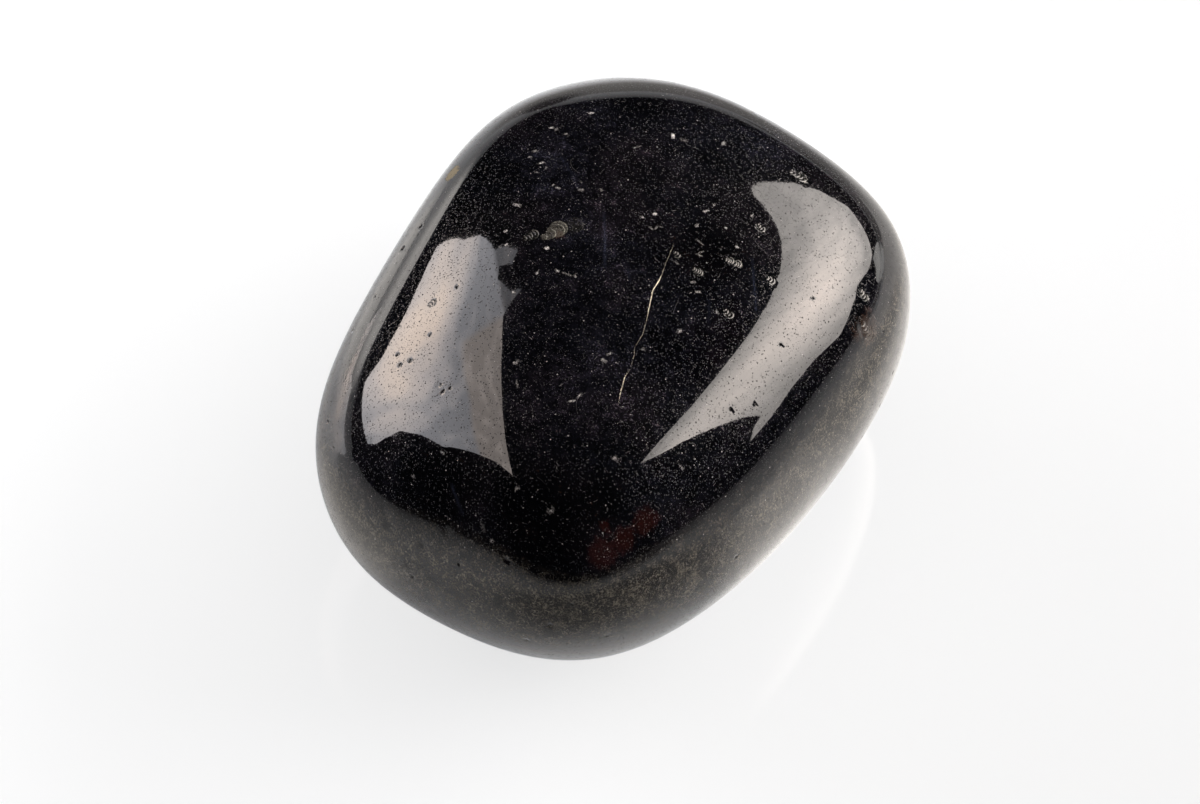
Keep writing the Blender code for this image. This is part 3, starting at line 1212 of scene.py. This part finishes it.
def polished_obsidian(glass):
    """Black volcanic glass, tumbled and polished: almost no colour of its own, mirror gloss."""
    material = bpy.data.materials.new("polished_obsidian")
    material.use_nodes = True
    tree = material.node_tree
    shader = tree.nodes["Principled BSDF"]
    # Volcanic glass bends light as window glass does
    shader.inputs["IOR"].default_value = GLASS_IOR
    place = add_node(tree, "ShaderNodeTexCoord", {}).outputs["Object"]
    noises = {
        name: add_node(
            tree, "ShaderNodeTexNoise",
            {"Vector": place, "Scale": 1.0 / (size * MM), "Detail": detail,
             "Roughness": NOISE_ROUGHNESS})
        for name, (size, detail) in NOISES.items()
    }
    fields = torn_fields(tree, noises)
    outwards = add_node(tree, "ShaderNodeNewGeometry", {}).outputs["Normal"]
    tilt = add_node(tree, "ShaderNodeSeparateXYZ", {"Vector": outwards}).outputs["Z"]
    fields["flank"] = add_node(tree, "ShaderNodeMapRange", {"Value": tilt, **FLANK_TILT})

    colour = misty_glass(tree, glass, noises, fields)
    colour = worn_and_reflecting_flanks(tree, glass, noises, fields["flank"], colour)
    rough = add_node(
        tree, "ShaderNodeMapRange", {"Value": noises["grit"], "To Min": glass.polish, **MATT_GRIT})
    colour, rough = laid_over(tree, colour, rough, fields, PATCH_LOOKS, glass)
    colour, rough = strewn_grains(tree, glass, place, noises, fields, colour, rough)
    colour, rough = laid_over(tree, colour, rough, fields, MARKS, glass)

    # Faint waves in the polish, and a finer grain on the worn flanks
    grain = add_node(
        tree, "ShaderNodeMath", {0: noises["grit"], 1: fields["flank"]}, operation="MULTIPLY")
    height = add_node(
        tree, "ShaderNodeMath", {0: grain, 1: FLANK_ROUGHENING, 2: noises["cloud"]},
        operation="MULTIPLY_ADD")
    waves = add_node(
        tree, "ShaderNodeBump", {"Height": height, "Strength": 1.0, "Distance": glass.ripple})
    set_inputs(tree, shader, {"Base Color": colour, "Roughness": rough, "Normal": waves})
    return material


def softbox_point(stage, mesh, tree, across, down, side):
    """Where a softbox's plane stands on the ray that the polish mirrors at a pixel."""
    point, _, face, ray = seen_point(stage, tree, across, down)
    corners = mesh.polygons[face].vertices
    weights = poly_3d_calc([mesh.vertices[corner].co for corner in corners], point)
    normal = Vector((0.0, 0.0, 0.0))
    for corner, weight in zip(corners, weights):
        normal += mesh.vertices[corner].normal * weight
    mirrored = ray.reflect(normal.normalized())
    outward = on_stage(stage, side, 0.0, 0.0)
    reach = (stage.light_distance - point.dot(outward)) / mirrored.dot(outward)
    return point + mirrored * reach


class OBJECT_OT_obsidian_stage(bpy.types.Operator):
    """Set up the camera, the table and the lights"""

    bl_idname = "object.obsidian_stage"
    bl_label = "Stage"

    def execute(self, context):
        stage = context.scene.obsidian_stage
        add_camera(stage)
        add_table(stage)
        form = rounded_stone("mirror_form", MIRROR_LEVELS)
        tree = surface_tree(form.data)
        for name, (outline, side, lamp) in PANELS.items():
            add_panel(stage, name, outline, side, lamp, form.data, tree)
        bpy.data.objects.remove(form)
        add_fill(stage)
        for number, (name, pool) in enumerate(POOLS.items()):
            add_pool(stage, name, (POOL_HEIGHT + POOL_STEP * number) * MM, *pool)
        light_room(context.scene)
        return {"FINISHED"}


# How finely the form is rounded that the panels' outlines are thrown back from
MIRROR_LEVELS = 2

# Inside each lit panel: the lamp's place along and up its plane, how far its glow reaches each
# way in metres, the radiance far from it and at it as shares of the light power, the cloth's
# folds and its colour far from the lamp and at it
LEFT_LAMP = {"place": (0.226, 0.100), "reach": (0.200, 0.110), "span": (0.34, 0.92),
             "folds": 0.2, "tints": ("#f6f5fc", "#ffebdc")}
RIGHT_LAMP = {"place": (0.260, 0.270), "reach": (0.580, 0.180), "span": (0.39, 1.28),
              "folds": 0.07, "tints": ("#fff8f2", "#fff0e5")}
# The card glows with its own light, painted light in place of the light that a white card bounces
CARD_GLOW = {"place": (0.300, 0.010), "reach": (0.300, 0.080), "span": (0.13, 0.22),
             "folds": 0.1, "tints": ("#fffcf8", "#fffcf8")}

# The lit panels: outline in the picture, side of the stone (-1 for left, 1 for right) and lamp
PANELS = {
    "left softbox": (LEFT_LIGHT, -1.0, LEFT_LAMP),
    "right softbox": (RIGHT_LIGHT, 1.0, RIGHT_LAMP),
    "glowing card": (RIGHT_CARD, 1.0, CARD_GLOW),
}

# Folds of the cloth: their size and the span of the noise that draws them
FOLD_SIZE = 60.0 * MM
FOLD_NOISE = {"From Min": 0.35, "From Max": 0.65}

# A second cloth hangs over the top of the left softbox. In metres: the places away from the
# camera between which its hem dips and then rises steeply, the heights of its soft edge where the
# hem is level, the heights between which the box darkens towards it, and the places between which
# the box's rear edge is folded over.
HEM_DIP = {"From Min": 0.12, "From Max": 0.236, "To Max": -0.054}
HEM_RISE = {"From Min": 0.236, "From Max": 0.467, "To Max": 0.5}
HEM_EDGE = {"From Min": 0.255, "From Max": 0.279}
HEM_SHADE = {"From Min": 0.12, "From Max": 0.24, "To Min": 1.0, "To Max": 0.77}
REAR_FOLD = {"From Min": 0.329, "From Max": 0.340, "To Min": 1.0, "To Max": 0.40}
HUNG_CLOTH = "#fff1e9"

# The fill light's diameter in metres, its power in watts and its colour
FILL_WIDTH = 1.0
FILL_POWER = 3.0
FILL_COLOUR = "#fff4ea"

# The table's colour, IOR and the most that it mirrors: for the light and for the stone's polish,
# and for the camera, which sees the lamps' light and shadow weakened under a painted glow
TABLE_FOR_LIGHT = ("#e6eff8", 1.45, 1.0)
TABLE_FOR_CAMERA = ("#7d8287", 1.65, 0.08)
TABLE_ROUGHNESS = 0.04

# Corners of the table top, counted round to the left as seen from above, across and away from
# the camera in metres
TABLE_CORNERS = {
    "front": (0.20, -0.50),
    "near right": (0.50, -0.30),
    "right": (0.50, 0.45),
    "far": (-0.60, 0.90),
    "far left": (-0.90, 0.48),
    "left": (-0.26, 0.02),
    "front left": (-0.26, -0.40),
}

# How fast the painted glow that lifts the table's shadows grows across and away from the camera,
# per metre, to even out the shadows of two unequal lights, and the most that it differs from its
# middle
LIFT_SLOPE = (-1.6, 0.6)
LIFT_RANGE = 0.08

# The room as the polish sees it, and the backdrop as the camera sees it
ROOM_COLOURS = ("#0e0f12", "#ffffff")

# Height of the lowest pool above the table and the step to the next one, in millimetres, the
# corners of its outline, and its colour
POOL_HEIGHT = 1.0
POOL_STEP = 0.05
POOL_CORNERS = 32
POOL_COLOUR = "#fffaf5"

# Pools of light and of shadow that only the polish sees on the table: place across and away
# from the camera, radius along and across the pool in millimetres, the pool's angle in degrees,
# its radiance, and the share of its radius over which it fades
POOLS = {
    "right grey": (75, 45, 90, 52, 50, 1.4, 0.3),
    "near right grey": (44, 12, 18, 14, 60, 0.90, 0.6),
    "right shade": (230, 80, 90, 50, 20, 0.30, 0.5),
    "right light": (44, -15, 44, 12, -14, 2.3, 0.5),
    "right dark": (110, 175, 105, 55, 60, 0.42, 0.15),
    "far right dark": (180, 220, 70, 70, 0, 0.25, 0.5),
    "back grey": (5, 85, 62, 48, 0, 0.56, 0.4),
    "back dark": (-36, 140, 90, 22, 105, 0.10, 0.5),
    "left light": (-260, 190, 260, 62, 143, 3.4, 0.5),
    "near left light": (-52, 33, 30, 17, 148, 2.4, 0.5),
    "front left light": (-34, -14, 20, 16, 0, 1.3, 0.5),
    "front dark": (20, -56, 70, 44, 0, 0.34, 0.5),
    "far front dark": (200, -150, 130, 80, -30, 0.20, 0.5),
}


def on_stage(stage, across, away, up):
    """A place on the stage, given across and away from the camera."""
    level = Vector((math.cos(stage.azimuth), math.sin(stage.azimuth), 0.0))
    ahead = Vector((-math.sin(stage.azimuth), math.cos(stage.azimuth), 0.0))
    return level * across + ahead * away + Vector((0.0, 0.0, up))


def add_camera(stage):
    """A long lens at the photograph's viewing angle."""
    place, right, up, back = eye(stage)
    data = bpy.data.cameras.new("camera")
    data.lens = stage.lens
    data.sensor_width = SENSOR_WIDTH
    camera = bpy.data.objects.new("camera", data)
    bpy.context.scene.collection.objects.link(camera)
    turned = Matrix((right, up, back)).transposed().to_4x4()
    camera.matrix_world = Matrix.Translation(place) @ turned
    bpy.context.scene.camera = camera


def white_acrylic(stage):
    """Glossy white sheet: even and pale under a painted glow that only the camera sees, with a
    mirror image that grows towards the far edge.
    """
    material, tree = new_material("glossy_white_acrylic")
    camera = add_node(tree, "ShaderNodeLightPath", {}).outputs["Is Camera Ray"]
    (plain_white, *plain), (seen_white, *seen) = TABLE_FOR_LIGHT, TABLE_FOR_CAMERA
    white = add_node(
        tree, "ShaderNodeMix",
        {"Factor": camera, "A": linear(plain_white), "B": linear(seen_white)}, data_type="RGBA")
    bend, most = [
        add_node(tree, "ShaderNodeMapRange", {"Value": camera, "To Min": first, "To Max": last})
        for first, last in zip(plain, seen)
    ]
    shine = add_node(tree, "ShaderNodeFresnel", {"IOR": bend})
    share = add_node(tree, "ShaderNodeMath", {0: shine, 1: most}, operation="MINIMUM")
    matt = add_node(tree, "ShaderNodeBsdfDiffuse", {"Color": white})
    gloss = add_node(tree, "ShaderNodeBsdfGlossy", {"Roughness": TABLE_ROUGHNESS})
    both = add_node(tree, "ShaderNodeMixShader", {"Fac": share, 1: matt, 2: gloss})
    # Only the camera sees the lift, a painted glow, so the stone's mirror image of the table keeps
    # its depth
    place = add_node(tree, "ShaderNodeTexCoord", {}).outputs["Object"]
    slope = on_stage(stage, *LIFT_SLOPE, 0.0)
    tilt = add_node(tree, "ShaderNodeVectorMath", {0: place, 1: slope}, operation="DOT_PRODUCT")
    evened = add_node(
        tree, "ShaderNodeMapRange",
        {"Value": tilt, "From Min": -LIFT_RANGE, "From Max": LIFT_RANGE,
         "To Min": stage.painted_shadow_lift - LIFT_RANGE, "To Max": stage.painted_shadow_lift + LIFT_RANGE})
    lift = add_node(tree, "ShaderNodeMath", {0: camera, 1: evened}, operation="MULTIPLY")
    painted_glow = add_node(tree, "ShaderNodeEmission", {"Strength": lift})
    lifted = add_node(tree, "ShaderNodeAddShader", {0: both, 1: painted_glow})
    add_node(tree, "ShaderNodeOutputMaterial", {"Surface": lifted})
    return material


def flat_sheet(name, points, material):
    """A flat sheet with the given corners and material."""
    deselect_all()
    bpy.ops.mesh.primitive_circle_add(
        vertices=len(points), radius=1.0, fill_type="NGON", location=(0.0, 0.0, 0.0))
    sheet = bpy.context.active_object
    sheet.name = name.replace(" ", "_")
    for vert, point in zip(sheet.data.vertices, points):
        vert.co = point
    sheet.data.materials.append(material)
    return sheet


def add_table(stage):
    """The pale table top."""
    corners = [on_stage(stage, across, away, 0.0) for across, away in TABLE_CORNERS.values()]
    flat_sheet("table top", corners, white_acrylic(stage))


def hung_cloth(stage, tree, place, power, tint):
    """The left softbox's power and tint under its second cloth and its folded rear edge."""
    turned = add_node(
        tree, "ShaderNodeMapping", {"Vector": place, "Rotation": (0.0, 0.0, stage.azimuth)},
        vector_type="TEXTURE")
    part = add_node(tree, "ShaderNodeSeparateXYZ", {"Vector": turned}).outputs
    dip = add_node(
        tree, "ShaderNodeMapRange", {"Value": part["Y"], **HEM_DIP},
        interpolation_type="SMOOTHSTEP")
    rise = add_node(tree, "ShaderNodeMapRange", {"Value": part["Y"], **HEM_RISE})
    hem = add_node(tree, "ShaderNodeMath", {0: dip, 1: rise}, operation="ADD")
    above = add_node(tree, "ShaderNodeMath", {0: part["Z"], 1: hem}, operation="SUBTRACT")
    hung = add_node(tree, "ShaderNodeMapRange", {"Value": above, **HEM_EDGE})
    tint = add_node(
        tree, "ShaderNodeMix", {"Factor": hung, "A": tint, "B": linear(HUNG_CLOTH)},
        data_type="RGBA")
    for value, span in ((above, HEM_SHADE), (part["Y"], REAR_FOLD)):
        share = add_node(tree, "ShaderNodeMapRange", {"Value": value, **span})
        power = add_node(tree, "ShaderNodeMath", {0: power, 1: share}, operation="MULTIPLY")
    return power, tint


def lit_cloth(stage, name, side, lamp):
    """Lit white nylon: warm and bright over the lamp, cooler and dimmer towards its edges."""
    material, tree = new_material(name)
    centre = on_stage(stage, side * stage.light_distance, *lamp["place"])
    place = add_node(tree, "ShaderNodeTexCoord", {}).outputs["Object"]
    around = add_node(
        tree, "ShaderNodeMapping",
        {"Vector": place, "Location": centre, "Rotation": (0.0, 0.0, stage.azimuth),
         "Scale": (1.0, *lamp["reach"])}, vector_type="TEXTURE")
    glow = add_node(
        tree, "ShaderNodeTexGradient", {"Vector": around}, gradient_type="SPHERICAL")
    folds = add_node(
        tree, "ShaderNodeTexNoise", {"Vector": place, "Scale": 1.0 / FOLD_SIZE, "Detail": 1.0})
    folds = add_node(
        tree, "ShaderNodeMapRange",
        {"Value": folds, "To Min": -lamp["folds"], "To Max": lamp["folds"], **FOLD_NOISE})
    warm = add_node(
        tree, "ShaderNodeMath", {0: glow.outputs["Fac"], 1: folds}, operation="ADD",
        use_clamp=True)
    dim, bright = lamp["span"]
    power = add_node(
        tree, "ShaderNodeMapRange",
        {"Value": warm, "To Min": dim * stage.light_power,
         "To Max": bright * stage.light_power})
    far, near = lamp["tints"]
    tint = add_node(
        tree, "ShaderNodeMix", {"Factor": warm, "A": linear(far), "B": linear(near)},
        data_type="RGBA")
    if side < 0.0:
        power, tint = hung_cloth(stage, tree, place, power, tint)
    light = add_node(tree, "ShaderNodeEmission", {"Color": tint, "Strength": power})
    add_node(tree, "ShaderNodeOutputMaterial", {"Surface": light})
    return material


def add_panel(stage, name, outline, side, lamp, mesh, tree):
    """A flat lit panel whose mirror image in the stone has the given outline."""
    points = [
        softbox_point(stage, mesh, tree, across, down, side)
        for across, down in outline.values()
    ]
    panel = flat_sheet(name, points, lit_cloth(stage, name, side, lamp))
    panel.visible_camera = False


def add_fill(stage):
    """A wide, weak light from above that lifts the shadows; the polish doesn't mirror it."""
    data = bpy.data.lights.new("overhead", "AREA")
    data.shape = "DISK"
    data.size = FILL_WIDTH
    data.energy = FILL_POWER
    data.color = linear(FILL_COLOUR)[:3]
    fill = bpy.data.objects.new("overhead", data)
    fill.location = on_stage(stage, 0.0, 0.0, stage.fill_height)
    fill.visible_glossy = False
    fill.visible_camera = False
    bpy.context.scene.collection.objects.link(fill)


def pool_glow(stage, name, centre, turn, spread, radiance, fade):
    """A soft-edged oval that glows, or darkens what is under it, and is clear from below."""
    material, tree = new_material(name)
    place = add_node(tree, "ShaderNodeTexCoord", {}).outputs["Object"]
    around = add_node(
        tree, "ShaderNodeMapping",
        {"Vector": place, "Location": centre, "Rotation": (0.0, 0.0, turn),
         "Scale": (*spread, 1.0)}, vector_type="TEXTURE")
    inside = add_node(
        tree, "ShaderNodeTexGradient", {"Vector": around}, gradient_type="SPHERICAL")
    soft = add_node(
        tree, "ShaderNodeMapRange", {"Value": inside.outputs["Fac"], "From Max": fade},
        interpolation_type="SMOOTHSTEP")
    # The table's own mirror looks at the pool from below and must see through it
    below = add_node(tree, "ShaderNodeNewGeometry", {}).outputs["Backfacing"]
    soft = add_node(
        tree, "ShaderNodeMath", {0: soft, 1: below}, operation="SUBTRACT", use_clamp=True)
    nothing = add_node(tree, "ShaderNodeBsdfTransparent", {})
    light = add_node(
        tree, "ShaderNodeEmission", {"Color": linear(POOL_COLOUR), "Strength": radiance})
    both = add_node(tree, "ShaderNodeMixShader", {"Fac": soft, 1: nothing, 2: light})
    add_node(tree, "ShaderNodeOutputMaterial", {"Surface": both})
    return material


def add_pool(stage, name, height, across, away, along, broad, angle, radiance, fade):
    """An oval of light or shadow just over the table that only the polish mirrors."""
    centre = on_stage(stage, across * MM, away * MM, height)
    turn = stage.azimuth + math.radians(angle)
    level = Vector((math.cos(turn), math.sin(turn), 0.0)) * along * MM
    square = Vector((-math.sin(turn), math.cos(turn), 0.0)) * broad * MM
    points = []
    for step in range(POOL_CORNERS):
        corner = step * math.tau / POOL_CORNERS
        points.append(centre + level * math.cos(corner) + square * math.sin(corner))
    spread = (along * MM, broad * MM)
    glow = pool_glow(stage, name, centre, turn, spread, radiance, fade)
    pool = flat_sheet(name, points, glow)
    pool.visible_camera = False
    pool.visible_diffuse = False
    pool.visible_shadow = False


def light_room(scene):
    """A dark room that the camera alone sees as a white backdrop."""
    world = bpy.data.worlds.new("dark_room")
    world.use_nodes = True
    tree = world.node_tree
    tree.nodes.clear()
    dark, pale = [
        add_node(tree, "ShaderNodeBackground", {"Color": linear(colour), "Strength": 1.0})
        for colour in ROOM_COLOURS
    ]
    camera = add_node(tree, "ShaderNodeLightPath", {}).outputs["Is Camera Ray"]
    both = add_node(tree, "ShaderNodeMixShader", {"Fac": camera, 1: dark, 2: pale})
    add_node(tree, "ShaderNodeOutputWorld", {"Surface": both})
    scene.world = world
    scene.view_settings.view_transform = "Standard"


class VIEW3D_PT_obsidian(bpy.types.Panel):
    """The stone's settings and builders"""

    bl_label = "Obsidian stone"
    bl_idname = "VIEW3D_PT_obsidian"
    bl_space_type = "VIEW_3D"
    bl_region_type = "UI"
    bl_category = "Obsidian"

    def draw(self, context):
        for group in GROUPS:
            box = self.layout.box()
            settings = getattr(context.scene, group)
            for name in settings.__annotations__:
                box.prop(settings, name)
        self.layout.operator("object.obsidian_stone")
        self.layout.operator("object.obsidian_stage")


GROUPS = {
    "obsidian_stone": ObsidianStoneSettings,
    "obsidian_glass": ObsidianGlassSettings,
    "obsidian_stage": ObsidianStageSettings,
}
CLASSES = (
    *GROUPS.values(),
    OBJECT_OT_obsidian_stone,
    OBJECT_OT_obsidian_stage,
    VIEW3D_PT_obsidian,
)


def register():
    for made in CLASSES:
        bpy.utils.register_class(made)
    for name, group in GROUPS.items():
        setattr(bpy.types.Scene, name, bpy.props.PointerProperty(type=group))


def unregister():
    for name in GROUPS:
        delattr(bpy.types.Scene, name)
    for made in reversed(CLASSES):
        bpy.utils.unregister_class(made)


def main():
    """Register the add-on and build everything."""
    register()
    bpy.ops.object.obsidian_stone()
    bpy.ops.object.obsidian_stage()


if __name__ == "__main__":
    main()
